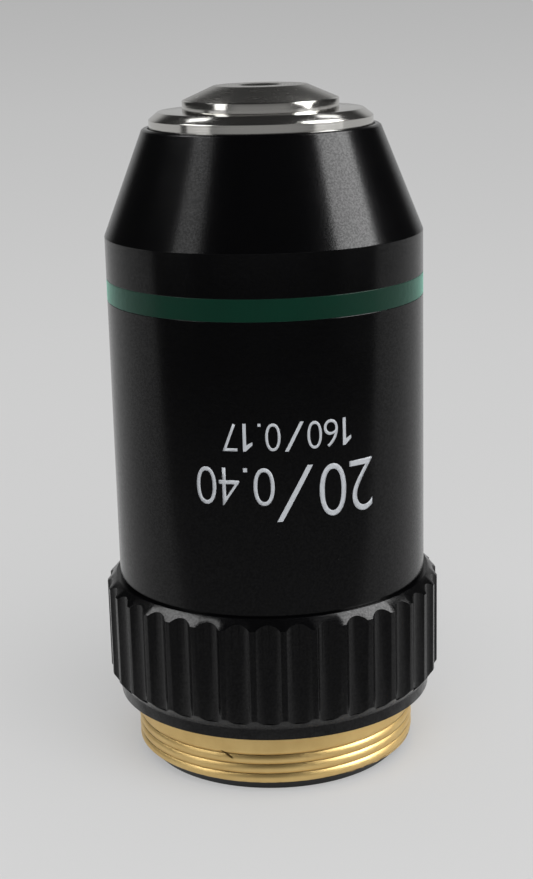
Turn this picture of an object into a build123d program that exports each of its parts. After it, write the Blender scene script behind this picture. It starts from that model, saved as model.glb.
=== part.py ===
from build123d import *
from math import sqrt
import os

# Microscope objective with a spring-loaded nose. Lengths are millimetres.
# The origin is on the optical axis, in the plane of the mounting shoulder. +Z points out of the
# nose, so the mounting thread lies below the origin. Heights are named ..._z.

# Fits, all measured on the radius
screw_clearance = 0.05
slide_clearance = 0.08
cell_clearance = 0.03
free_clearance = 0.3
edge_break = 0.12
same_place = 0.001

# Mounting thread, drawn as a plain cylinder over its crests
thread_radius = 10.12
thread_length = 4.6
thread_chamfer = 0.87
thread_step = 0.47
rear_wall = 2.12

# Mount tube above the shoulder
tube_wall = 1.85
ledge_width = 1.6
ledge_thickness = 3.5

# Grip ring
grip_height = 8.8
grip_step = 0.96
grip_chamfer = 0.68
grip_land_height = 0.79
grip_lower_chamfer = 0.86
flute_count = 36
flute_radius = 1.25
flute_depth = 0.36
flute_base_z = 1.3
flute_phase = 8.0

# Outer sleeve
barrel_length = 24.53
cone_height = 7.25
mouth_wall = 0.4
mouth_depth = 3.58
sleeve_wall = 1.38
tube_headroom = 0.9

# Colour band
band_below_cone = 2.91
band_width = 1.49
band_depth = 0.12

# Sliding nose
nose_travel = 2.5
nose_above_rim = 1.08
nose_chamfer_width = 0.64
nose_chamfer_height = 0.51
nose_length = 20.66
nose_wall = 1.32
nose_head_thickness = 4.16
flange_step = 0.63
flange_thickness = 1.5

# Guide screw and its slot
guide_screw_radius = 0.9
guide_screw_head_radius = 1.5
guide_screw_head_height = 0.8
guide_screw_head_sink = 0.95
guide_screw_below_top = 4.7
guide_slot_depth = 0.9
guide_tip_gap = 0.2
driver_slot_width = 0.4
driver_slot_depth = 0.35

# Compression spring
spring_length = 11.0
spring_wire = 0.6
spring_turns = 3

# Rear baffle
baffle_thickness = 1.2
baffle_width = 3.35

# Front lens cell: the polished tip
tip_radius = 5.4
tip_cylinder_height = 0.69
tip_cone_height = 0.95
tip_face_radius = 3.22
tip_sink_radius = 1.56
tip_sink_depth = 0.4
tip_lip_thickness = 0.15
spigot_radius = 4.6
spigot_length = 3.06
front_aperture_radius = 0.8
light_bore_radius = 3.4
light_bore_length = 2.3

# Front lens, flat towards the nose
front_rim_radius = 1.65
front_edge_thickness = 0.8
front_curve = 1.9

# Middle doublet and its cell. The rim is a share of the cell's radius, and the curves of the faces
# are multiples of the rim's radius, so a lens keeps its form at any size
middle_rim_share = 0.518
middle_flint_thickness = 0.6
middle_crown_thickness = 1.8
middle_joint_ratio = 2.27
middle_rear_ratio = 3.64
middle_cell_height = 3.4

# Rear doublet and its cell
rear_rim_share = 0.675
rear_flint_thickness = 0.8
rear_crown_thickness = 2.2
rear_joint_ratio = 2.33
rear_rear_ratio = 3.72
rear_cell_height = 3.9

# Pieces of the lens stack
lens_lip_width = 0.4
lens_lip_thickness = 0.5
shim_thickness = 0.3
spacer_length = 4.7
spacer_wall = 1.0
stop_thickness = 0.4
stop_overlap = 1.1
retainer_height = 2.0
retainer_width = 1.8
spanner_slot_width = 1.0
spanner_slot_depth = 0.7

# Radii that follow
tube_radius = thread_radius - thread_step
guide_radius = tube_radius - tube_wall
nose_radius = guide_radius - slide_clearance
rear_bore_radius = thread_radius - rear_wall
baffle_radius = rear_bore_radius - screw_clearance
ledge_radius = guide_radius - ledge_width
screwed_bore_radius = tube_radius + screw_clearance
rim_radius = guide_radius + mouth_wall
barrel_radius = screwed_bore_radius + sleeve_wall
grip_radius = barrel_radius + grip_step
flange_radius = nose_radius + flange_step
flange_bore_radius = flange_radius + free_clearance
stack_radius = nose_radius - nose_wall
cell_radius = stack_radius - cell_clearance
middle_rim_radius = cell_radius * middle_rim_share
rear_rim_radius = cell_radius * rear_rim_share
spring_radius = guide_radius - free_clearance - spring_wire / 2

# Heights that follow, from the shoulder up to the tip
cone_edge_z = grip_height + barrel_length
rim_z = cone_edge_z + cone_height
stop_z = rim_z - mouth_depth
tube_top_z = stop_z - flange_thickness - nose_travel - free_clearance
nose_top_z = rim_z + nose_above_rim
nose_tail_z = nose_top_z - nose_length
spring_seat_z = nose_tail_z - spring_length
ledge_base_z = spring_seat_z - ledge_thickness
tip_z = nose_top_z + tip_cylinder_height + tip_cone_height
guide_screw_z = tube_top_z - guide_screw_below_top

# Heights of the lens stack, from its seat in the nose barrel down to the retaining ring
stack_top_z = nose_top_z - nose_head_thickness
middle_cell_z = stack_top_z - shim_thickness
spacer_z = middle_cell_z - middle_cell_height
rear_cell_z = spacer_z - spacer_length
stop_disc_z = rear_cell_z - rear_cell_height
retainer_z = stop_disc_z - stop_thickness

os.makedirs("parts", exist_ok=True)


def turn(*points):
    """Turns the closed outline through these (radius, height) points about the optical axis."""
    with BuildSketch(Plane.XZ) as outline:
        with BuildLine():
            Polyline(*points, close=True)
        make_face()
    revolve(outline.sketch, axis=Axis.Z)


def ring(inner, outer, base_z, height):
    """Makes a plain ring with this bore and outer radius."""
    with BuildSketch(Plane.XY.offset(base_z)) as outline:
        Circle(outer)
        Circle(inner, mode=Mode.SUBTRACT)
    extrude(outline.sketch, amount=height)


def rims(piece, radius, height):
    """Finds the circular edges of a piece at one radius and height."""
    circles = piece.edges().filter_by(GeomType.CIRCLE)
    level = circles.filter_by_position(Axis.Z, height - same_place, height + same_place)
    return level.filter_by(lambda edge: abs(edge.radius - radius) < same_place)


def sag(curve, radius):
    """Depth of a spherical cap of this radius of curvature, out to this radius."""
    return curve - sqrt(curve**2 - radius**2)


def disc(radius, base_z, top_z):
    """Makes the blank of a lens, a plain disc between two heights."""
    with BuildSketch(Plane.XY.offset(base_z)) as outline:
        Circle(radius)
    extrude(outline.sketch, amount=top_z - base_z)


def grind(vertex_z, curve, mode):
    """Grinds one face of a lens with a ball that crosses the axis at this height.

    A positive curve bulges towards the nose, a negative one towards the rear.
    """
    with Locations((0, 0, vertex_z - curve)):
        Sphere(abs(curve), rotation=(90, 0, 0), mode=mode)


def lens_cell(rim, top_z, height):
    """Makes a cell with a lens pocket that is open to the rear and a lip round its front."""
    pocket = rim + cell_clearance
    lip_z = top_z - lens_lip_thickness
    base_z = top_z - height
    turn(
        (pocket, base_z),
        (cell_radius, base_z),
        (cell_radius, top_z),
        (rim - lens_lip_width, top_z),
        (rim - lens_lip_width, lip_z),
        (pocket, lip_z),
    )


def spanner_slots(base_z):
    """Cuts the two slots that a spanner turns, across a ring's lower face."""
    with BuildSketch(Plane.XY.offset(base_z)) as slots:
        Rectangle(2 * thread_radius, spanner_slot_width)
    extrude(slots.sketch, amount=spanner_slot_depth, mode=Mode.SUBTRACT)


# Mount tube: mounting thread, spigot for the ring and sleeve, and the guide for the sliding nose
with BuildPart() as mount_tube:
    turn(
        (rear_bore_radius, -thread_length),
        (thread_radius, -thread_length),
        (thread_radius, 0),
        (tube_radius, thread_step),
        (tube_radius, tube_top_z),
        (guide_radius, tube_top_z),
        (guide_radius, spring_seat_z),
        (ledge_radius, spring_seat_z),
        (ledge_radius, ledge_base_z),
        (rear_bore_radius, ledge_base_z),
    )
    chamfer(rims(mount_tube, thread_radius, -thread_length), thread_chamfer)
    with Locations(Plane(origin=(tube_radius, 0, guide_screw_z), z_dir=(1, 0, 0))):
        CounterBoreHole(
            radius=guide_screw_radius + screw_clearance,
            counter_bore_radius=guide_screw_head_radius + screw_clearance,
            counter_bore_depth=guide_screw_head_sink,
            depth=tube_radius,
        )
mount_tube.part.label = "mount_tube"
export_step(mount_tube.part, "parts/mount_tube.step")

# Grip ring: mounting shoulder below, coned inside over the top of the thread, and concave flutes
with BuildPart() as grip_ring:
    turn(
        (screwed_bore_radius, thread_step),
        (thread_radius + screw_clearance, 0),
        (grip_radius - grip_chamfer, 0),
        (grip_radius - grip_chamfer, grip_land_height),
        (grip_radius, grip_land_height + grip_lower_chamfer),
        (grip_radius, grip_height),
        (screwed_bore_radius, grip_height),
    )
    chamfer(rims(grip_ring, grip_radius, grip_height), grip_chamfer)
    with BuildSketch(Plane.XY.offset(flute_base_z)):
        with PolarLocations(grip_radius - flute_depth + flute_radius, flute_count, flute_phase):
            Circle(flute_radius)
    extrude(amount=grip_height, mode=Mode.SUBTRACT)
grip_ring.part.label = "grip_ring"
export_step(grip_ring.part, "parts/grip_ring.step")

# Outer sleeve: straight barrel, cone and open mouth, with the groove for the colour band
with BuildPart() as outer_sleeve:
    turn(
        (screwed_bore_radius, grip_height),
        (barrel_radius, grip_height),
        (barrel_radius, cone_edge_z),
        (rim_radius, rim_z),
        (guide_radius, rim_z),
        (guide_radius, stop_z),
        (flange_bore_radius, stop_z),
        (flange_bore_radius, tube_top_z + tube_headroom),
        (screwed_bore_radius, tube_top_z + tube_headroom),
    )
    chamfer(rims(outer_sleeve, rim_radius, rim_z), edge_break)
    with BuildSketch(Plane.XY.offset(cone_edge_z - band_below_cone - band_width)):
        Circle(barrel_radius)
        Circle(barrel_radius - band_depth, mode=Mode.SUBTRACT)
    extrude(amount=band_width, mode=Mode.SUBTRACT)
outer_sleeve.part.label = "outer_sleeve"
export_step(outer_sleeve.part, "parts/outer_sleeve.step")

# Colour band: enamel that fills its groove flush
with BuildPart() as colour_band:
    ring(
        barrel_radius - band_depth,
        barrel_radius,
        cone_edge_z - band_below_cone - band_width,
        band_width,
    )
colour_band.part.label = "colour_band"
export_step(colour_band.part, "parts/colour_band.step")

# Rear baffle: screwed up against the ledge from the thread end
with BuildPart() as rear_baffle:
    ring(
        baffle_radius - baffle_width,
        baffle_radius,
        ledge_base_z - baffle_thickness,
        baffle_thickness,
    )
    spanner_slots(ledge_base_z - baffle_thickness)
rear_baffle.part.label = "rear_baffle"
export_step(rear_baffle.part, "parts/rear_baffle.step")

# Guide screw: cheese head sunk in the mount tube, tip in the slot of the nose barrel
guide_tip_x = nose_radius - guide_slot_depth + guide_tip_gap
guide_seat_x = tube_radius - guide_screw_head_sink
guide_head_x = guide_seat_x + guide_screw_head_height
with BuildPart() as guide_screw:
    with BuildSketch(Plane(origin=(guide_tip_x, 0, guide_screw_z), z_dir=(1, 0, 0))):
        Circle(guide_screw_radius)
    extrude(amount=guide_seat_x - guide_tip_x)
    with BuildSketch(Plane(origin=(guide_seat_x, 0, guide_screw_z), z_dir=(1, 0, 0))):
        Circle(guide_screw_head_radius)
    extrude(amount=guide_screw_head_height)
    with BuildSketch(Plane(origin=(guide_head_x, 0, guide_screw_z), z_dir=(1, 0, 0))):
        Rectangle(2 * guide_screw_head_radius, driver_slot_width)
    extrude(amount=-driver_slot_depth, mode=Mode.SUBTRACT)
guide_screw.part.label = "guide_screw"
export_step(guide_screw.part, "parts/guide_screw.step")

# Compression spring: square wire, with its ends ground level where they seat
with BuildPart() as compression_spring:
    with BuildLine() as spring_path:
        Helix(
            pitch=spring_length / spring_turns,
            height=spring_length,
            radius=spring_radius,
            center=(0, 0, spring_seat_z),
        )
    with BuildSketch(spring_path.line ^ 0):
        Rectangle(spring_wire, spring_wire)
    sweep(is_frenet=True)
    split(bisect_by=Plane.XY.offset(spring_seat_z), keep=Keep.TOP)
    split(bisect_by=Plane.XY.offset(nose_tail_z), keep=Keep.BOTTOM)
compression_spring.part.label = "compression_spring"
export_step(compression_spring.part, "parts/compression_spring.step")

# Nose barrel: slides in the mount tube and the sleeve's mouth, and stops at its flange
with BuildPart() as nose_barrel:
    turn(
        (stack_radius, nose_tail_z),
        (nose_radius, nose_tail_z),
        (nose_radius, stop_z - flange_thickness),
        (flange_radius, stop_z - flange_thickness),
        (flange_radius, stop_z),
        (nose_radius, stop_z),
        (nose_radius, nose_top_z),
        (spigot_radius + screw_clearance, nose_top_z),
        (spigot_radius + screw_clearance, stack_top_z),
        (stack_radius, stack_top_z),
    )
    chamfer(
        rims(nose_barrel, nose_radius, nose_top_z),
        nose_chamfer_width,
        nose_chamfer_height,
        reference=nose_barrel.faces().sort_by(Axis.Z)[-1],
    )
    guide_slot_base_z = guide_screw_z - guide_screw_radius - free_clearance
    guide_slot_top_z = guide_screw_z + guide_screw_radius + nose_travel + free_clearance
    guide_slot_plane = Plane(
        origin=(nose_radius - guide_slot_depth, 0, (guide_slot_base_z + guide_slot_top_z) / 2),
        x_dir=(0, 0, 1),
        z_dir=(1, 0, 0),
    )
    with BuildSketch(guide_slot_plane):
        SlotOverall(guide_slot_top_z - guide_slot_base_z, 2 * (guide_screw_radius + guide_tip_gap))
    extrude(amount=guide_slot_depth + edge_break, mode=Mode.SUBTRACT)
nose_barrel.part.label = "nose_barrel"
export_step(nose_barrel.part, "parts/nose_barrel.step")

# Front lens cell: spigot screwed into the nose barrel, collar on its face, tip round the front lens
lip_z = tip_z - tip_sink_depth - tip_lip_thickness
with BuildPart() as front_lens_cell:
    turn(
        (light_bore_radius, nose_top_z - spigot_length),
        (spigot_radius, nose_top_z - spigot_length),
        (spigot_radius, nose_top_z),
        (tip_radius, nose_top_z),
        (tip_radius, nose_top_z + tip_cylinder_height),
        (tip_face_radius, tip_z),
        (tip_sink_radius, tip_z),
        (front_aperture_radius, tip_z - tip_sink_depth),
        (front_aperture_radius, lip_z),
        (front_rim_radius + cell_clearance, lip_z),
        (front_rim_radius + cell_clearance, nose_top_z - spigot_length + light_bore_length),
        (light_bore_radius, nose_top_z - spigot_length + light_bore_length),
    )
front_lens_cell.part.label = "front_lens_cell"
export_step(front_lens_cell.part, "parts/front_lens_cell.step")

# Front lens: seated on the lip behind the tip
front_vertex_z = lip_z - front_edge_thickness - sag(front_curve, front_rim_radius)
with BuildPart() as front_lens:
    disc(front_rim_radius, front_vertex_z - edge_break, lip_z)
    grind(front_vertex_z, -front_curve, Mode.INTERSECT)
front_lens.part.label = "front_lens"
export_step(front_lens.part, "parts/front_lens.step")

# Spacing shim: between the nose barrel's inner shoulder and the middle cell
with BuildPart() as spacing_shim:
    ring(stack_radius - spacer_wall, cell_radius, middle_cell_z, shim_thickness)
spacing_shim.part.label = "spacing_shim"
export_step(spacing_shim.part, "parts/spacing_shim.step")

# Middle lens cell
with BuildPart() as middle_lens_cell:
    lens_cell(middle_rim_radius, middle_cell_z, middle_cell_height)
middle_lens_cell.part.label = "middle_lens_cell"
export_step(middle_lens_cell.part, "parts/middle_lens_cell.step")


def flint_lens(front_z, thickness, joint_ratio, rim):
    """Makes the flint of a doublet: flat towards the nose, hollow towards the rear."""
    joint_curve = joint_ratio * rim
    joint_z = front_z - thickness
    disc(rim, joint_z - sag(joint_curve, rim) - edge_break, front_z)
    grind(joint_z, joint_curve, Mode.SUBTRACT)


def crown_lens(joint_z, thickness, joint_ratio, rear_ratio, rim):
    """Makes the crown of a doublet: cemented in the flint's hollow, domed towards the rear."""
    rear_z = joint_z - thickness
    disc(rim, rear_z - edge_break, joint_z + edge_break)
    grind(joint_z, joint_ratio * rim, Mode.INTERSECT)
    grind(rear_z, -rear_ratio * rim, Mode.INTERSECT)


# Middle flint lens: flat on the lip of its cell
middle_lens_z = middle_cell_z - lens_lip_thickness
with BuildPart() as middle_flint_lens:
    flint_lens(middle_lens_z, middle_flint_thickness, middle_joint_ratio, middle_rim_radius)
middle_flint_lens.part.label = "middle_flint_lens"
export_step(middle_flint_lens.part, "parts/middle_flint_lens.step")

# Middle crown lens
with BuildPart() as middle_crown_lens:
    crown_lens(
        middle_lens_z - middle_flint_thickness,
        middle_crown_thickness,
        middle_joint_ratio,
        middle_rear_ratio,
        middle_rim_radius,
    )
middle_crown_lens.part.label = "middle_crown_lens"
export_step(middle_crown_lens.part, "parts/middle_crown_lens.step")

# Middle spacer: sets the air gap between the two cells
with BuildPart() as middle_spacer:
    ring(stack_radius - spacer_wall, cell_radius, rear_cell_z, spacer_length)
middle_spacer.part.label = "middle_spacer"
export_step(middle_spacer.part, "parts/middle_spacer.step")

# Rear lens cell
with BuildPart() as rear_lens_cell:
    lens_cell(rear_rim_radius, rear_cell_z, rear_cell_height)
rear_lens_cell.part.label = "rear_lens_cell"
export_step(rear_lens_cell.part, "parts/rear_lens_cell.step")

# Rear flint lens
rear_lens_z = rear_cell_z - lens_lip_thickness
with BuildPart() as rear_flint_lens:
    flint_lens(rear_lens_z, rear_flint_thickness, rear_joint_ratio, rear_rim_radius)
rear_flint_lens.part.label = "rear_flint_lens"
export_step(rear_flint_lens.part, "parts/rear_flint_lens.step")

# Rear crown lens
with BuildPart() as rear_crown_lens:
    crown_lens(
        rear_lens_z - rear_flint_thickness,
        rear_crown_thickness,
        rear_joint_ratio,
        rear_rear_ratio,
        rear_rim_radius,
    )
rear_crown_lens.part.label = "rear_crown_lens"
export_step(rear_crown_lens.part, "parts/rear_crown_lens.step")

# Aperture stop: thin disc behind the rear doublet
with BuildPart() as aperture_stop:
    ring(rear_rim_radius - stop_overlap, cell_radius, retainer_z, stop_thickness)
aperture_stop.part.label = "aperture_stop"
export_step(aperture_stop.part, "parts/aperture_stop.step")

# Retaining ring: clamps the stack against the nose barrel's inner shoulder
with BuildPart() as retaining_ring:
    ring(cell_radius - retainer_width, cell_radius, retainer_z - retainer_height, retainer_height)
    spanner_slots(retainer_z - retainer_height)
retaining_ring.part.label = "retaining_ring"
export_step(retaining_ring.part, "parts/retaining_ring.step")
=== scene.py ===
"""Dresses the packed microscope objective and sets it on a studio floor.

Sizes are in millimetres on the panel's settings and in metres in the meshes. +Z is the optical
axis, towards the nose. Angles round the axis are measured from the camera's side, to the right.
"""

from math import atan2, cos, hypot, pi, radians, sin, tau

import bpy
from bpy.props import FloatProperty, FloatVectorProperty, IntProperty
from mathutils import Matrix, Vector


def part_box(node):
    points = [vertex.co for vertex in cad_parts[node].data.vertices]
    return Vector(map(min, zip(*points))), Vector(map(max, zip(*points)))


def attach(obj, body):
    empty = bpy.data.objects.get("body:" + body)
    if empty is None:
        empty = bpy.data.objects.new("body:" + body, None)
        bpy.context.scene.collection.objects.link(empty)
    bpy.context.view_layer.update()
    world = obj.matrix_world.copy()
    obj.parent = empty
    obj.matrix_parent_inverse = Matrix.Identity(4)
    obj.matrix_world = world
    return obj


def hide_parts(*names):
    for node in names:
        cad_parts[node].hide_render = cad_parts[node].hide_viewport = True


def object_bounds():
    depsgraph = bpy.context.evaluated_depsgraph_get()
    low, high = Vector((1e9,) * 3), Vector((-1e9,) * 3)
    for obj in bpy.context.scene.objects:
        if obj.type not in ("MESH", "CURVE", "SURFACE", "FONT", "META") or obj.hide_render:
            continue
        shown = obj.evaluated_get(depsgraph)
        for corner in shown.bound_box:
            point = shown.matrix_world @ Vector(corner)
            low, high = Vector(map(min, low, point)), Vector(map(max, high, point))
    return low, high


bl_info = {
    "name": "Microscope Objective",
    "version": (1, 0, 0),
    "blender": (4, 5, 0),
    "location": "3D View > Sidebar > Objective",
    "description": "Finishes a packed microscope objective and lights it",
    "category": "Object",
}

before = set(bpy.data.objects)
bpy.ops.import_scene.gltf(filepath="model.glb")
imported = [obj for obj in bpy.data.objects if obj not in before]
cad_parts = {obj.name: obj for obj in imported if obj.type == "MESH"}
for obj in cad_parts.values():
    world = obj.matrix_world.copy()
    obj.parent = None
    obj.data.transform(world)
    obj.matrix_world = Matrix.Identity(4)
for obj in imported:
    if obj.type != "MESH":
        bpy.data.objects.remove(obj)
cad_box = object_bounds()

MM = 0.001
# Distance at which loose points are joined
WELD = MM / 1000


def length(name, description, default):
    """A size in millimetres."""
    return FloatProperty(name=name, description=description, default=default, precision=3)


def turn_angle(name, description, default):
    """An angle in degrees."""
    return FloatProperty(name=name, description=description, default=default, precision=2)


def colour(name, description, default):
    """A plain colour, as light and not as a screen's number."""
    return FloatVectorProperty(
        name=name, description=description, default=default, size=3, subtype="COLOR", min=0, max=1
    )


class ThreadSettings(bpy.types.PropertyGroup):
    """The groove of the mounting thread."""

    pitch: length("Pitch", "Rise of the groove in one turn", 0.7056)
    depth: length("Depth", "Depth of the groove below the crests", 0.14)
    front_height: length("Front height", "Height of the top turn on the camera's side", -1.75)
    end_height: length("End", "Height at which the groove runs out", -1.35)
    sharpness: FloatProperty(name="Sharpness", description="How narrow the groove is", default=2.1)
    cuts: IntProperty(name="Cuts", description="Rings across half the thread", default=90, min=20)


class GuideSettings(bpy.types.PropertyGroup):
    """The guide screw's seat in the mount tube and its slot in the nose barrel."""

    hole_radius: length("Hole", "Radius of the screw's hole", 0.95)
    seat_radius: length("Seat", "Radius of the sunk seat of the head", 1.55)
    seat_depth: length("Seat depth", "Depth of the seat below the tube's side", 0.95)
    slot_half_width: length("Slot", "Half the width of the slot", 1.1)
    slot_depth: length("Slot depth", "Depth of the slot below the barrel's side", 0.9)
    slot_low: length("Slot low", "Gap below the screw at rest", 0.3)
    slot_high: length("Slot high", "Gap above the screw at rest", 2.8)


class EdgeSettings(bpy.types.PropertyGroup):
    """The broken edges of the turned pieces."""

    black_edge: length("Black edge", "Width of the broken edges under paint", 0.03)
    bright_edge: length("Bright edge", "Width of the broken edges of polished metal", 0.035)
    band_edge: length("Band edge", "Width of the rounded edges of the enamel", 0.03)


class PrintSettings(bpy.types.PropertyGroup):
    """The numbers printed on the barrel, which read upright with the nose down."""

    thickness: length("Thickness", "Thickness of the print", 0.018)
    slice_width: length("Slice", "Width of the strips that follow the barrel", 0.2)
    thinning: FloatProperty(
        name="Thinning", description="How much finer the strokes are", default=0.012
    )
    power_line: length("Power line", "Height of the line that the power stands on", 19.22)
    tube_line: length("Tube line", "Height of the line that the tube length stands on", 22.23)


class FinishSettings(bpy.types.PropertyGroup):
    """Colours of the finishes."""

    black: colour("Black", "Satin black of the barrel and the ring", (0.0009, 0.0009, 0.0011))
    enamel: colour("Enamel", "Green of the colour band", (0.001, 0.022, 0.012))
    brass: colour("Brass", "Bare brass of the thread", (0.84, 0.62, 0.27))
    nickel: colour("Nickel", "Polished nickel of the nose", (0.62, 0.61, 0.58))
    print_white: colour("Print", "White of the numbers", (0.47, 0.49, 0.52))


class StageSettings(bpy.types.PropertyGroup):
    """Camera, lamps and floor."""

    camera_side: length("Camera side", "Place of the camera across the axis", -0.17)
    camera_distance: length("Camera distance", "Distance of the camera from the axis", 118.914)
    camera_height: length("Camera height", "Height of the camera above the shoulder", 49.637)
    camera_pitch: turn_angle("Pitch", "How far the camera looks down", 14.79)
    camera_roll: turn_angle("Roll", "How far the camera leans", -1.45)
    camera_lens: length("Lens", "Focal length", 70.0)
    floor_radius: length("Floor", "Radius of the floor", 60000.0)
    floor_grey: FloatProperty(name="Grey", description="Grey of the floor", default=0.58)
    sky_brightness: FloatProperty(name="Sky", description="Brightness of the sky lamp", default=3.6)


# Materials

# Heights between which the black paint of the thread's end gives way to bare brass
PAINT_EDGE = (-3.78, -3.70)
# Depths below the crests between which bare brass gives way to the black of the bore
BORE_EDGE = (0.9, 0.7)
# Place of the nick: along the crest from the camera's side, and height
NICK = (-3.55, -1.84)
# Depths below the top of the tip between which the cone becomes the bright rim
TIP_RIM = (0.94, 0.86)


class Signal:
    """The output of a node. Sums of signals and numbers add Math nodes."""

    def __init__(self, finish, socket):
        self.finish = finish
        self.socket = socket

    def math(self, operation, first, second):
        inputs = {0: first, 1: second}
        return self.finish.node("ShaderNodeMath", {"operation": operation}, inputs)

    def __add__(self, other):
        return self.math("ADD", self, other)

    def __radd__(self, other):
        return self.math("ADD", other, self)

    def __sub__(self, other):
        return self.math("SUBTRACT", self, other)

    def __rsub__(self, other):
        return self.math("SUBTRACT", other, self)

    def __mul__(self, other):
        return self.math("MULTIPLY", self, other)

    def __rmul__(self, other):
        return self.math("MULTIPLY", other, self)

    def __pow__(self, other):
        return self.math("POWER", self, other)


class Finish:
    """A material or a world under construction."""

    def __init__(self, name, kind="materials"):
        self.material = getattr(bpy.data, kind).new(name)
        self.material.use_nodes = True
        self.material.node_tree.nodes.clear()

    def node(self, kind, settings=None, inputs=None, output=0):
        """Adds a node, sets it up, fills its sockets and returns one of its outputs."""
        node = self.material.node_tree.nodes.new(kind)
        for name, value in (settings or {}).items():
            if name == "stops":
                self.set_stops(node.color_ramp, value)
            else:
                setattr(node, name, value)
        for key, value in (inputs or {}).items():
            if isinstance(value, Signal):
                self.material.node_tree.links.new(value.socket, node.inputs[key])
            else:
                node.inputs[key].default_value = value
        return Signal(self, node.outputs[output]) if node.outputs else node

    def set_stops(self, ramp, stops):
        """Gives a colour ramp its stops."""
        while len(ramp.elements) < len(stops):
            ramp.elements.new(0.5)
        for element, (position, shade) in zip(ramp.elements, stops):
            element.position = position
            element.color = shade

    def place(self):
        """Place on the piece in millimetres, as x, y and z, and distance from the axis."""
        place = self.node("ShaderNodeTexCoord", output="Object")
        scaled = self.node(
            "ShaderNodeVectorMath", {"operation": "SCALE"}, {"Vector": place, "Scale": 1 / MM}
        )
        x, y, z = (self.node("ShaderNodeSeparateXYZ", None, {0: scaled}, i) for i in range(3))
        radius = (x * x + y * y) ** 0.5
        return scaled, x, y, z, radius

    def fade(self, value, start, end):
        """Rises smoothly from 0 to 1 while the value goes from start to end."""
        return self.node(
            "ShaderNodeMapRange",
            {"interpolation_type": "SMOOTHSTEP"},
            {"Value": value, "From Min": start, "From Max": end},
        )

    def noise(self, vector, scale, detail=2.0, roughness=0.5):
        """Cloudy variation between 0 and 1."""
        inputs = {"Vector": vector, "Scale": scale, "Detail": detail, "Roughness": roughness}
        return self.node("ShaderNodeTexNoise", None, inputs, "Fac")

    def lathe_lines(self, radius, z, fineness):
        """Fine lines from the lathe, alike all the way round."""
        across = self.node("ShaderNodeCombineXYZ", None, {"X": radius, "Y": z})
        return self.noise(across, fineness, 4.0, 0.65)

    def scratch(self, across, up, slope, reach):
        """A short thin mark through this place, at this slope and of this half length."""
        length_factor = hypot(1, slope)
        along = (across + up * slope) * (1 / length_factor)
        off = (up - across * slope) * (1 / length_factor)
        thin = 1 - self.fade(self.size(off), 0.04, 0.10)
        return thin * (1 - self.fade(self.size(along), 0.6 * reach, reach))

    def size(self, value):
        """A value without its sign."""
        return self.node("ShaderNodeMath", {"operation": "ABSOLUTE"}, {0: value})

    def mix(self, amount, first, second):
        """A colour between two colours."""
        inputs = {"Factor": amount, 6: first, 7: second}
        return self.node("ShaderNodeMix", {"data_type": "RGBA"}, inputs, 2)

    def bump(self, height, distance, strength=1.0):
        """A normal that follows this height, of which 1 is this far in millimetres."""
        inputs = {"Height": height, "Distance": distance * MM, "Strength": strength}
        return self.node("ShaderNodeBump", None, inputs)

    def done(self, inputs):
        """Closes the material with a surface of these values."""
        surface = self.node("ShaderNodeBsdfPrincipled", None, inputs)
        self.node("ShaderNodeOutputMaterial", None, {"Surface": surface})
        return self.material


def opaque(shade):
    """A colour as a colour socket takes it."""
    return (*shade, 1.0)


def black_finish(name, shade, roughness):
    """Satin black over turned metal, with a fine sparkle, dull patches and specks of dust."""
    finish = Finish(name)
    place, x, y, z, radius = finish.place()
    grain = finish.noise(place, 9.0, 3.0)
    speckle = finish.fade(finish.noise(place, 7.5, 2.0), 0.34, 0.66)
    patches = finish.noise(place, 0.35, 3.0)
    dust = finish.fade(finish.noise(place, 5.5, 5.0, 0.6), 0.72, 0.78)
    lines = finish.lathe_lines(radius, z, 7.0)
    return finish.done(
        {
            "Base Color": finish.mix(dust * 0.25, opaque(shade), (0.09, 0.09, 0.088, 1)),
            "Roughness": patches * 0.10 + grain * 0.08 + (roughness - 0.09),
            "Specular IOR Level": 0.10,
            "Coat Weight": speckle * 0.20 + 0.14,
            "Coat Roughness": 0.9 * roughness,
            "Normal": finish.bump(grain * 0.8 + lines * 0.2, 0.008),
        }
    )


def enamel_finish(name, shade):
    """Glossy enamel in a groove, a little uneven."""
    finish = Finish(name)
    place, x, y, z, radius = finish.place()
    cloud = finish.noise(place, 0.8, 3.0)
    return finish.done(
        {
            "Base Color": finish.mix(cloud, opaque(shade), opaque([0.8 * c for c in shade])),
            "Roughness": cloud * 0.1 + 0.3,
            "Specular IOR Level": 0.1,
            "Coat Weight": 0.08,
            "Coat Roughness": 0.15,
            "Sheen Weight": 0.9,
            "Sheen Roughness": 0.35,
            "Sheen Tint": (0.25, 0.62, 0.48, 1.0),
            "Normal": finish.bump(finish.noise(place, 2.5, 2.0), 0.01),
        }
    )


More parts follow.
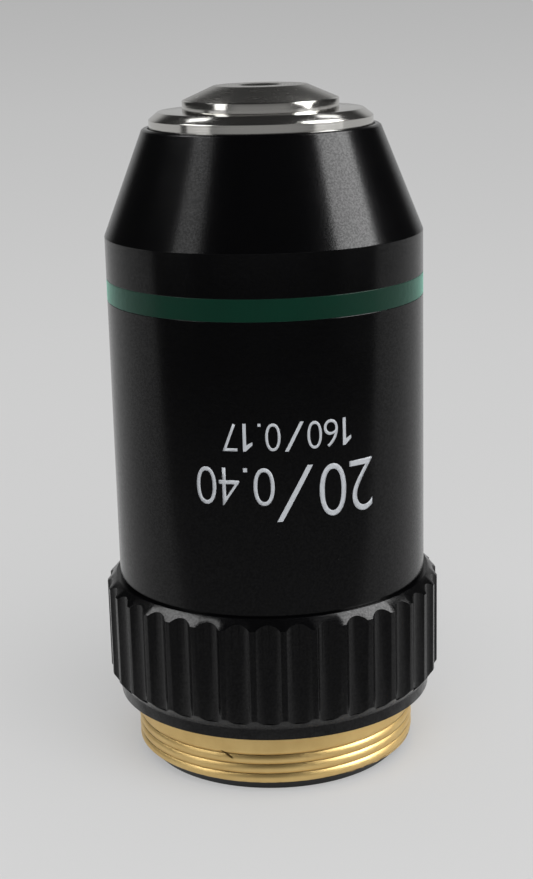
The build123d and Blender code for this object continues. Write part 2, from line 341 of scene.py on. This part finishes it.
def brass_finish(name, shade, black, thread):
    """Turned brass with painted shade at the bottom of the groove, a nick, and black paint inside
    and on the end.
    """
    finish = Finish(name)
    place, x, y, z, radius = finish.place()
    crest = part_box("mount_tube")[1].x / MM
    lines = finish.lathe_lines(radius, z, 9.0)
    tarnish = finish.noise(place, 0.45, 4.0, 0.6)
    wander = finish.noise(place, 1.6, 3.0) * 0.12
    end = 1 - finish.fade(z + wander, *PAINT_EDGE)
    inside = 1 - finish.fade(radius, *(crest - depth for depth in BORE_EDGE))
    painted = finish.node("ShaderNodeMath", {"operation": "MAXIMUM"}, {0: end, 1: inside})
    # Painted shade: the bottom of the thread's groove is darkened towards dark brown
    groove_shade = finish.fade(crest - radius, 0.68 * thread.depth, 0.95 * thread.depth)
    around = finish.node("ShaderNodeMath", {"operation": "ARCTAN2"}, {0: x, 1: 0 - y}) * crest
    nick = finish.scratch(around - NICK[0], z - NICK[1], slope=-0.5, reach=0.6)
    # The dark mix: painted shade in the groove, joined with the nick's own dark mark
    dark = finish.node("ShaderNodeMath", {"operation": "MAXIMUM"}, {0: groove_shade * 0.7, 1: nick})
    warm = finish.mix(tarnish, opaque(shade), opaque((0.62, 0.42, 0.16)))
    groove_shaded = finish.mix(dark, warm, opaque((0.10, 0.06, 0.02)))
    return finish.done(
        {
            "Base Color": finish.mix(painted, groove_shaded, opaque(black)),
            "Metallic": 1 - painted,
            "Roughness": lines * 0.10 + tarnish * 0.10 + dark * 0.1 + 0.33,
            "Specular IOR Level": 0.1,
            "Normal": finish.bump(lines - nick * 3.0, 0.004),
        }
    )


def nickel_finish(name, shade, tip_height):
    """Polished nickel, with the turned cone of the tip left duller than the rest."""
    finish = Finish(name)
    place, x, y, z, radius = finish.place()
    lines = finish.lathe_lines(radius, z, 8.0)
    smears = finish.noise(place, 0.6, 4.0, 0.6)
    cone = finish.fade(z, *(tip_height - depth for depth in TIP_RIM))
    return finish.done(
        {
            "Base Color": finish.mix(cone, opaque(shade), opaque([0.72 * c for c in shade])),
            "Metallic": 1.0,
            "Roughness": cone * 0.13 + lines * 0.06 + smears * 0.05 + 0.08,
            "Normal": finish.bump(lines, 0.003),
        }
    )


def metal_finish(name, shade, roughness, fineness):
    """Plain turned metal, for pieces inside."""
    finish = Finish(name)
    place, x, y, z, radius = finish.place()
    lines = finish.lathe_lines(radius, z, fineness)
    stain = finish.noise(place, 0.7, 4.0, 0.6)
    return finish.done(
        {
            "Base Color": finish.mix(stain, opaque(shade), opaque([0.75 * c for c in shade])),
            "Metallic": 1.0,
            "Roughness": lines * 0.12 + stain * 0.08 + (roughness - 0.08),
            "Normal": finish.bump(lines, 0.004),
        }
    )


def glass_finish(name, tint):
    """Coated optical glass, with a trace of dust."""
    finish = Finish(name)
    place, x, y, z, radius = finish.place()
    dust = finish.fade(finish.noise(place, 14.0, 4.0), 0.66, 0.74)
    return finish.done(
        {
            "Base Color": opaque(tint),
            "Roughness": dust * 0.25 + 0.01,
            "IOR": 1.52,
            "Transmission Weight": 1.0,
            "Coat Weight": dust * 0.1 + 0.5,
            "Coat Tint": (0.75, 0.7, 1.0, 1.0),
        }
    )


def print_finish(name, shade):
    """White ink, thin in places."""
    finish = Finish(name)
    place, x, y, z, radius = finish.place()
    worn = finish.noise(place, 3.0, 5.0, 0.7)
    faded = finish.mix(worn, opaque(shade), opaque([0.72 * c for c in shade]))
    return finish.done(
        {
            "Base Color": faded,
            "Roughness": worn * 0.2 + 0.45,
            "Specular IOR Level": 0.3,
            "Normal": finish.bump(worn, 0.004),
        }
    )


# Meshes


def only(piece):
    """Selects one object and makes it active."""
    bpy.ops.object.select_all(action="DESELECT")
    piece.select_set(True)
    bpy.context.view_layer.objects.active = piece


def edit(piece):
    """Opens a piece in edit mode with all of it selected."""
    only(piece)
    bpy.ops.object.mode_set(mode="EDIT")
    bpy.ops.mesh.select_all(action="SELECT")


def close_edit():
    """Leaves edit mode."""
    bpy.ops.object.mode_set(mode="OBJECT")


def apply_modifier(piece, kind, **settings):
    """Adds a modifier and applies it."""
    only(piece)
    modifier = piece.modifiers.new(kind.title(), kind)
    for name, value in settings.items():
        setattr(modifier, name, value)
    bpy.ops.object.modifier_apply(modifier=modifier.name)


def merged_copy(node, name):
    """Copies a node as a new piece, with its loose triangles joined into one skin."""
    piece = bpy.data.objects.new(name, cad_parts[node].data.copy())
    bpy.context.collection.objects.link(piece)
    edit(piece)
    bpy.ops.mesh.customdata_custom_splitnormals_clear()
    bpy.ops.mesh.remove_doubles(threshold=WELD)
    close_edit()
    return piece


def select_where(piece, chosen):
    """Selects the vertices for which chosen(place) is true, and opens edit mode."""
    only(piece)
    for vertex in piece.data.vertices:
        vertex.select = chosen(vertex.co)
    for element in (*piece.data.edges, *piece.data.polygons):
        element.select = all(piece.data.vertices[i].select for i in element.vertices)
    bpy.ops.object.mode_set(mode="EDIT")


def section(node, name):
    """Half of a node's section through the axis, on the side away from the guide screw."""
    piece = merged_copy(node, name)
    edit(piece)
    bpy.ops.mesh.bisect(
        plane_co=(0, 0, 0), plane_no=(0, 1, 0), clear_inner=True, clear_outer=True
    )
    close_edit()
    select_where(piece, lambda place: place.x > 0)
    bpy.ops.mesh.delete(type="VERT")
    bpy.ops.mesh.select_all(action="SELECT")
    bpy.ops.mesh.remove_doubles(threshold=WELD)
    bpy.ops.mesh.dissolve_limited(angle_limit=radians(0.5))
    close_edit()
    return piece


def turn_section(piece, steps):
    """Turns a section about the axis."""
    edit(piece)
    bpy.ops.mesh.spin(steps=steps, angle=tau, center=(0, 0, 0), axis=(0, 0, 1))
    bpy.ops.mesh.select_all(action="SELECT")
    bpy.ops.mesh.remove_doubles(threshold=WELD)
    bpy.ops.mesh.normals_make_consistent(inside=False)
    close_edit()


def side_cutter(radius, near, low, high):
    """A cutter from a distance on the +X side outwards, round at its low and high ends."""
    depth = 2 * radius
    bpy.ops.object.select_all(action="DESELECT")
    bpy.ops.mesh.primitive_cylinder_add(
        vertices=48,
        radius=radius,
        depth=depth,
        location=(near + depth / 2, 0, low + radius),
        rotation=(0, pi / 2, 0),
    )
    cutter = bpy.context.object
    bpy.ops.object.transform_apply(location=True, rotation=True, scale=True)
    select_where(cutter, lambda place: place.z > low + radius + WELD)
    bpy.ops.transform.translate(value=(0, 0, high - low - 2 * radius))
    close_edit()
    return cutter


def cut(piece, cutter):
    """Cuts one mesh out of another."""
    apply_modifier(piece, "BOOLEAN", operation="DIFFERENCE", solver="EXACT", object=cutter)
    bpy.data.objects.remove(cutter)


def break_edges(piece, width, smooth):
    """Rounds the edges that turn more than this angle a little, so that they catch the light."""
    apply_modifier(
        piece,
        "BEVEL",
        width=width * MM,
        segments=2,
        limit_method="ANGLE",
        angle_limit=radians(smooth),
        use_clamp_overlap=True,
    )
    only(piece)
    bpy.ops.object.shade_smooth_by_angle(angle=radians(smooth + 10))
    apply_modifier(piece, "WEIGHTED_NORMAL", keep_sharp=True, weight=60)


def paint(piece, material):
    """Gives a new piece its one material."""
    piece.data.materials.clear()
    piece.data.materials.append(material)


def paint_node(node, material):
    """Gives a packed node its material, in the slots of its object."""
    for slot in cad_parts[node].material_slots:
        slot.material = material


def stand_in(piece, node, body):
    """Makes a finished piece take the place of its node."""
    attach(piece, body)
    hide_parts(node)


# Pieces


class OBJECTIVE_OT_mount_tube(bpy.types.Operator):
    """Turns the mount tube, cuts its thread and bores the guide screw's seat"""

    bl_idname = "objective.mount_tube"
    bl_label = "Mount tube"

    # Sides round the tube
    SIDES = 240
    # Height in the plain neck of the tube, above the thread and the shoulder
    NECK_HEIGHT = 5 * MM

    def execute(self, context):
        thread = context.scene.objective_thread
        guide = context.scene.objective_guide
        finishes = context.scene.objective_finishes
        piece = section("mount_tube", "threaded_mount_tube")
        self.divide_thread(piece, thread.cuts)
        turn_section(piece, self.SIDES)
        self.cut_thread(piece, thread)
        low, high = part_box("guide_screw")
        middle = (low.z + high.z) / 2
        head_side = self.tube_side(piece)
        for radius, depth in (
            (guide.hole_radius * MM, 4 * guide.seat_depth * MM),
            (guide.seat_radius * MM, guide.seat_depth * MM),
        ):
            cut(piece, side_cutter(radius, head_side - depth, middle - radius, middle + radius))
        only(piece)
        bpy.ops.object.shade_smooth_by_angle(angle=radians(35))
        material = brass_finish("turned_brass", finishes.brass, finishes.black, thread)
        paint(piece, material)
        paint_node("mount_tube", material)
        stand_in(piece, "mount_tube", "housing")
        return {"FINISHED"}

    def tube_side(self, piece):
        """The tube's radius above the thread."""
        neck = (v.co for v in piece.data.vertices if v.co.z > self.NECK_HEIGHT)
        return max(hypot(place.x, place.y) for place in neck)

    def divide_thread(self, piece, cuts):
        """Divides the part of the section that carries the thread."""
        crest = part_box("mount_tube")[1].x
        select_where(piece, lambda place: abs(place.x + crest) < MM and place.z < MM / 100)
        bpy.ops.mesh.subdivide(number_cuts=1)
        bpy.ops.mesh.subdivide(number_cuts=cuts)
        close_edit()

    def cut_thread(self, piece, thread):
        """Sinks a helical groove that narrows with depth and runs out at its top end."""
        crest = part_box("mount_tube")[1].x
        pitch = thread.pitch * MM
        for vertex in piece.data.vertices:
            x, y, z = vertex.co
            radius = hypot(x, y)
            if z > 0 or radius < crest - 3 * thread.depth * MM:
                continue
            turns = (z - thread.front_height * MM) / pitch - (atan2(y, x) + pi / 2) / tau
            off = abs(turns - round(turns)) * 2
            centre = z - (turns - round(turns)) * pitch
            share = min(max((thread.end_height * MM - centre) / (0.3 * pitch), 0), 1)
            floor = crest - thread.depth * MM * share * (1 - off) ** thread.sharpness
            if radius > floor:
                vertex.co.x = x * floor / radius
                vertex.co.y = y * floor / radius


class OBJECTIVE_OT_turned_pieces(bpy.types.Operator):
    """Breaks the edges of the outer pieces and gives them their finishes"""

    bl_idname = "objective.turned_pieces"
    bl_label = "Turned pieces"

    # Sides round the plain pieces
    SIDES = 192
    # Least turn of an edge, in degrees, at which it is broken
    FLUTED_EDGE = 26
    PLAIN_EDGE = 12
    # Half the height of the guide screw's tip in its slot
    SCREW_TIP = 0.9 * MM

    def execute(self, context):
        edges = context.scene.objective_edges
        finishes = context.scene.objective_finishes
        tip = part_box("front_lens_cell")[1].z / MM
        black = black_finish("barrel_black", finishes.black, 0.18)
        ring_black = black_finish("ring_black", finishes.black, 0.21)
        enamel = enamel_finish("band_enamel", finishes.enamel)
        nickel = nickel_finish("nose_nickel", finishes.nickel, tip)
        rows = (
            ("outer_sleeve", "housing", black, edges.black_edge, "satin_black"),
            ("grip_ring", "housing", ring_black, edges.black_edge, "satin_black"),
            ("colour_band", "housing", enamel, edges.band_edge, "green_enamel"),
            ("nose_barrel", "nose", nickel, edges.bright_edge, "polished_nickel"),
            ("front_lens_cell", "nose", nickel, edges.bright_edge, "polished_nickel"),
        )
        for node, body, material, edge, slot in rows:
            if node == "grip_ring":
                piece = merged_copy(node, "finished_" + node)
            else:
                piece = section(node, "finished_" + node)
                turn_section(piece, self.SIDES)
            if node == "nose_barrel":
                self.guide_slot(context, piece)
            break_edges(piece, edge, self.FLUTED_EDGE if node == "grip_ring" else self.PLAIN_EDGE)
            paint(piece, material)
            paint_node(node, material)
            stand_in(piece, node, body)
        return {"FINISHED"}

    def guide_slot(self, context, piece):
        """Cuts the slot that the guide screw's tip slides in."""
        guide = context.scene.objective_guide
        low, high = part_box("guide_screw")
        middle = (low.z + high.z) / 2
        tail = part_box("nose_barrel")[0].z
        side = max(hypot(v.co.x, v.co.y) for v in piece.data.vertices if v.co.z < tail + MM)
        cut(
            piece,
            side_cutter(
                guide.slot_half_width * MM,
                side - guide.slot_depth * MM,
                middle - self.SCREW_TIP - guide.slot_low * MM,
                middle + self.SCREW_TIP + guide.slot_high * MM,
            ),
        )


class OBJECTIVE_OT_numbers(bpy.types.Operator):
    """Prints the numbers of power, aperture and tube length on the barrel"""

    bl_idname = "objective.numbers"
    bl_label = "Numbers"

    # Width of a figure and the gaps before and after it, as shares of a plain figure's width
    SHAPES = {
        "1": (0.62, 0.25, 0.30),
        "/": (1.28, 0.16, 0.20),
        ".": (0.19, 0.22, 0.13),
    }
    PLAIN = (1.0, 0.07, 0.07)

    def execute(self, context):
        settings = context.scene.objective_print
        ink = print_finish("white_ink", context.scene.objective_finishes.print_white)
        # Name, figures, width and height of a figure, stroke, height of the foot line, start
        rows = (
            ("power_print", "20/", 1.92, 3.60, 0.33, settings.power_line, 7.42),
            ("aperture_print", "0.40", 1.39, 2.58, 0.30, settings.power_line, 0.29),
            ("tube_print", "160/0.17", 1.00, 1.87, 0.22, settings.tube_line, 5.66),
        )
        for name, words, width, cap, stroke, line, start in rows:
            figures = []
            for word in words:
                share, before, after = self.SHAPES.get(word, self.PLAIN)
                if figures:
                    start -= before * width
                figure = self.figure(word, share * width * MM, cap * MM, stroke * MM, settings)
                self.wrap(figure, line, start, settings)
                figures.append(figure)
                start -= (share + after) * width
            bpy.ops.object.select_all(action="DESELECT")
            for figure in figures:
                figure.select_set(True)
            bpy.context.view_layer.objects.active = figures[0]
            bpy.ops.object.join()
            piece = bpy.context.object
            piece.name = piece.data.name = name
            paint(piece, ink)
            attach(piece, "housing")
        return {"FINISHED"}

    def figure(self, word, width, cap, stroke, settings):
        """Makes one flat figure of this width and height, with its left foot at the origin."""
        slant = 1.12 * stroke
        flag = 0.72 * cap
        outlines = {
            "/": (
                (0, -0.02 * cap),
                (slant, -0.02 * cap),
                (width, 1.03 * cap),
                (width - slant, 1.03 * cap),
            ),
            ".": ((0, 0), (width, 0), (width, width), (0, width)),
            "1": (
                (width - stroke, 0),
                (width, 0),
                (width, cap),
                (width - 0.8 * stroke, cap),
                (0, flag + stroke / 2),
                (0, flag - stroke / 2),
                (width - stroke, flag + stroke / 2),
            ),
        }
        if word in outlines:
            piece = self.outlined(outlines[word])
        else:
            piece = self.lettered(word, width, cap, settings.thinning)
        self.slice(piece, width, settings.slice_width * MM)
        return piece

    def outlined(self, corners):
        """Makes a flat face with these corners."""
        bpy.ops.object.select_all(action="DESELECT")
        bpy.ops.mesh.primitive_circle_add(vertices=len(corners), radius=MM, fill_type="NGON")
        piece = bpy.context.object
        for vertex, (x, y) in zip(piece.data.vertices, corners):
            vertex.co = (x, y, 0)
        return piece

    def lettered(self, word, width, cap, thinning):
        """Makes a flat figure from the plain typeface, stretched to its size."""
        bpy.ops.object.select_all(action="DESELECT")
        bpy.ops.object.text_add()
        bpy.context.object.data.body = word
        bpy.context.object.data.offset = -thinning
        bpy.ops.object.convert(target="MESH")
        piece = bpy.context.object
        left, right = (pick(v.co.x for v in piece.data.vertices) for pick in (min, max))
        foot, top = (pick(v.co.y for v in piece.data.vertices) for pick in (min, max))
        stretch = Matrix.Diagonal((width / (right - left), cap / (top - foot), 1, 1))
        piece.data.transform(stretch @ Matrix.Translation((-left, -foot, 0)))
        return piece

    def wrap(self, piece, line, start, settings):
        """Lays a flat figure upside down on the barrel and gives it its thickness."""
        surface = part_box("colour_band")[1].x + settings.thickness * MM / 10
        for vertex in piece.data.vertices:
            angle = (start * MM - vertex.co.x) / surface
            height = line * MM - vertex.co.y
            vertex.co = (surface * sin(angle), -surface * cos(angle), height)
        edit(piece)
        bpy.ops.mesh.normals_make_consistent(inside=False)
        close_edit()
        apply_modifier(
            piece, "SOLIDIFY", thickness=settings.thickness * MM, offset=self.outward(piece)
        )

    def slice(self, piece, width, slice_width):
        """Cuts a flat figure into upright strips that can follow the barrel."""
        edit(piece)
        bpy.ops.mesh.remove_doubles(threshold=2 * WELD)
        cuts = int(width / slice_width)
        for number in range(1, cuts + 1):
            bpy.ops.mesh.select_all(action="SELECT")
            across = width * number / (cuts + 1)
            bpy.ops.mesh.bisect(plane_co=(across, 0, 0), plane_no=(1, 0, 0))
        close_edit()

    def outward(self, piece):
        """Tells the Solidify modifier which side of the figure is outside."""
        face = piece.data.polygons[0]
        return 1.0 if face.normal.dot(Vector((face.center.x, face.center.y, 0))) > 0 else -1.0


class OBJECTIVE_OT_inner_finishes(bpy.types.Operator):
    """Gives the pieces inside their finishes"""

    bl_idname = "objective.inner_finishes"
    bl_label = "Inner finishes"

    def execute(self, context):
        finishes = context.scene.objective_finishes
        dull = black_finish("inside_black", finishes.black, 0.62)
        steel = metal_finish("bright_steel", (0.56, 0.56, 0.55), 0.3, 6.0)
        brass = metal_finish("plain_brass", finishes.brass, 0.3, 8.0)
        glass = glass_finish("coated_glass", (0.94, 0.97, 0.95))
        rows = (
            (dull, ("rear_baffle", "middle_spacer", "aperture_stop")),
            (steel, ("guide_screw", "compression_spring")),
            (brass, ("spacing_shim", "middle_lens_cell", "rear_lens_cell", "retaining_ring")),
            (
                glass,
                (
                    "front_lens",
                    "middle_flint_lens",
                    "middle_crown_lens",
                    "rear_flint_lens",
                    "rear_crown_lens",
                ),
            ),
        )
        for material, nodes in rows:
            for node in nodes:
                paint_node(node, material)
        return {"FINISHED"}


# Stage


class OBJECTIVE_OT_stage(bpy.types.Operator):
    """Adds the floor, the lamps and the camera"""

    bl_idname = "objective.stage"
    bl_label = "Stage"

    # Height at which the lamps aim, and their distance from it
    AIM_HEIGHT = 20 * MM
    LAMP_DISTANCE = 400 * MM
    # Distance from the axis, in millimetres, at which the floor counts as half near
    HALF_NEAR = 119.0
    # Greys of the seen floor, from far to near: painted shade, darker far off and a little darker
    # right around the object
    GREYS = (
        (0.0, 0.455),
        (0.15, 0.527),
        (0.34, 0.584),
        (0.53, 0.63),
        (0.75, 0.658),
        (0.95, 0.625),
    )

    def execute(self, context):
        stage = context.scene.objective_stage
        self.floor(stage)
        self.world()
        # Direction round the axis and above the floor, lean, width and height, brightness
        for name, azimuth, height, lean, size, brightness in (
            ("right_window", 80.5, 37.0, 36.0, (215, 470), 10.0),
            ("right_card", 72.0, -1.0, 0.0, (245, 50), 0.8),
            ("right_ceiling", 135.5, 52.0, 0.0, (46, 80), 2.2),
            ("left_window", -60.5, 22.0, 0.0, (125, 230), 2.3),
            ("left_card", -66.0, -1.0, 0.0, (190, 50), 0.7),
            ("left_lamp", -86.0, 46.0, -15.0, (250, 160), 7.6),
            ("left_ceiling", -134.0, 55.0, 0.0, (48, 75), 3.2),
        ):
            window = self.lamp(name, azimuth, height, lean, size, brightness)
            window.visible_diffuse = False
        sky = self.lamp("sky_lamp", 20.0, 55.0, 0.0, (420, 420), stage.sky_brightness)
        sky.visible_glossy = False
        self.camera(context, stage)
        return {"FINISHED"}

    def floor(self, stage):
        """A wide pale disc that keeps the shadow near the object and glows further off, with
        painted shade that greys it far away and a little right around the object.
        """
        bpy.ops.object.select_all(action="DESELECT")
        bpy.ops.mesh.primitive_circle_add(
            vertices=96,
            radius=stage.floor_radius * MM,
            fill_type="NGON",
            location=(0, 0, cad_box[0][2]),
        )
        floor = bpy.context.object
        floor.name = "floor"
        bpy.ops.object.transform_apply(location=True, rotation=True, scale=True)
        finish = Finish("pale_floor")
        place, x, y, z, radius = finish.place()
        far = finish.fade(radius, 30.0, 160.0) * 0.4 + 0.6
        seen = finish.node("ShaderNodeLightPath", output="Is Camera Ray")
        glossy = finish.node("ShaderNodeLightPath", output="Is Glossy Ray")
        through = finish.node("ShaderNodeLightPath", output="Is Transmission Ray")
        direct = finish.node(
            "ShaderNodeMath",
            {"operation": "ADD", "use_clamp": True},
            {0: seen + glossy, 1: through},
        )
        nearness = finish.node(
            "ShaderNodeMath",
            {"operation": "DIVIDE"},
            {0: self.HALF_NEAR, 1: radius + self.HALF_NEAR},
        )
        shade = finish.node(
            "ShaderNodeValToRGB",
            {"stops": [(near, opaque([grey] * 3)) for near, grey in self.GREYS]},
            {"Fac": nearness},
        )
        # Painted shade: the floor in front of the object is darkened where reflections see it, most
        # a short way in front and less far off
        front = 1 - finish.fade(y, -28.0, -17.0)
        ahead = front * (finish.fade(y, -420.0, -200.0) * 0.5 + 0.4)
        shade = finish.mix(glossy * ahead, shade, (0, 0, 0, 1))
        glow = finish.node("ShaderNodeEmission", None, {"Color": shade})
        matte = finish.node(
            "ShaderNodeBsdfDiffuse", None, {"Color": opaque([stage.floor_grey] * 3)}
        )
        blend = finish.node("ShaderNodeMixShader", None, {0: far * direct, 1: matte, 2: glow})
        finish.node("ShaderNodeOutputMaterial", None, {"Surface": blend})
        paint(floor, finish.material)

    def world(self):
        """A pale room that reads dim in reflections, apart from the wall behind."""
        finish = Finish("studio", "worlds")
        bpy.context.scene.world = finish.material
        direction = finish.node("ShaderNodeTexCoord", output="Generated")
        behind = finish.node("ShaderNodeSeparateXYZ", None, {0: direction}, 1)
        height = finish.node("ShaderNodeSeparateXYZ", None, {0: direction}, 2)
        wall = finish.fade(behind, 0.72, 0.92) * (1 - finish.fade(height, 0.3, 0.55))
        ahead = (1 - finish.fade(height, 0.1, 0.42)) * (1 - finish.fade(behind, -0.86, -0.5))
        dim = finish.mix(ahead, opaque([0.025] * 3), opaque([0.26] * 3))
        dim = finish.mix(wall, dim, opaque([0.46] * 3))
        glossy = finish.node("ShaderNodeLightPath", output="Is Glossy Ray")
        shade = finish.mix(glossy, opaque([0.455] * 3), dim)
        background = finish.node("ShaderNodeBackground", None, {"Color": shade})
        finish.node("ShaderNodeOutputWorld", None, {"Surface": background})

    def lamp(self, name, azimuth, height, lean, size, brightness):
        """A lamp that faces the object from this direction, in degrees, and leans sideways."""
        lamp = bpy.data.lights.new(name, "AREA")
        lamp.shape = "RECTANGLE"
        lamp.size = size[0] * MM
        lamp.size_y = size[1] * MM
        lamp.energy = brightness * pi * lamp.size * lamp.size_y
        holder = bpy.data.objects.new(name, lamp)
        bpy.context.collection.objects.link(holder)
        aim = Matrix.Translation((0, 0, self.AIM_HEIGHT))
        turn = Matrix.Rotation(radians(azimuth), 4, "Z")
        rise = Matrix.Rotation(radians(90 - height), 4, "X")
        away = Matrix.Translation((0, 0, self.LAMP_DISTANCE))
        holder.matrix_world = aim @ turn @ rise @ away @ Matrix.Rotation(radians(-lean), 4, "Z")
        return holder

    def camera(self, context, stage):
        """A camera that sees the object as the photograph does."""
        lens = bpy.data.cameras.new("camera")
        lens.lens = stage.camera_lens
        lens.sensor_width = 36
        lens.clip_start = 0.005
        holder = bpy.data.objects.new("camera", lens)
        bpy.context.collection.objects.link(holder)
        holder.location = (
            stage.camera_side * MM,
            -stage.camera_distance * MM,
            stage.camera_height * MM,
        )
        lean = Matrix.Rotation(radians(stage.camera_roll), 3, "Z")
        holder.rotation_euler = (
            Matrix.Rotation(radians(90 - stage.camera_pitch), 3, "X") @ lean
        ).to_euler()
        context.scene.camera = holder
        context.scene.view_settings.view_transform = "Standard"


class OBJECTIVE_PT_panel(bpy.types.Panel):
    """Lists the operators and their settings"""

    bl_idname = "OBJECTIVE_PT_panel"
    bl_label = "Microscope Objective"
    bl_space_type = "VIEW_3D"
    bl_region_type = "UI"
    bl_category = "Objective"

    def draw(self, context):
        for operator in OPERATORS:
            self.layout.operator(operator.bl_idname)
        for name, group in SETTINGS.items():
            box = self.layout.box()
            box.label(text=group.__doc__)
            for field in group.__annotations__:
                box.prop(getattr(context.scene, name), field)


# Where each group of settings is kept on the scene, and the order of the work
SETTINGS = {
    "objective_thread": ThreadSettings,
    "objective_guide": GuideSettings,
    "objective_edges": EdgeSettings,
    "objective_print": PrintSettings,
    "objective_finishes": FinishSettings,
    "objective_stage": StageSettings,
}
OPERATORS = (
    OBJECTIVE_OT_mount_tube,
    OBJECTIVE_OT_turned_pieces,
    OBJECTIVE_OT_numbers,
    OBJECTIVE_OT_inner_finishes,
    OBJECTIVE_OT_stage,
)
CLASSES = (*SETTINGS.values(), *OPERATORS, OBJECTIVE_PT_panel)


def register():
    for cls in CLASSES:
        bpy.utils.register_class(cls)
    for name, group in SETTINGS.items():
        setattr(bpy.types.Scene, name, bpy.props.PointerProperty(type=group))


def unregister():
    for name in SETTINGS:
        delattr(bpy.types.Scene, name)
    for cls in reversed(CLASSES):
        bpy.utils.unregister_class(cls)


def main():
    register()
    bpy.ops.objective.mount_tube()
    bpy.ops.objective.turned_pieces()
    bpy.ops.objective.numbers()
    bpy.ops.objective.inner_finishes()
    bpy.ops.objective.stage()


if __name__ == "__main__":
    main()
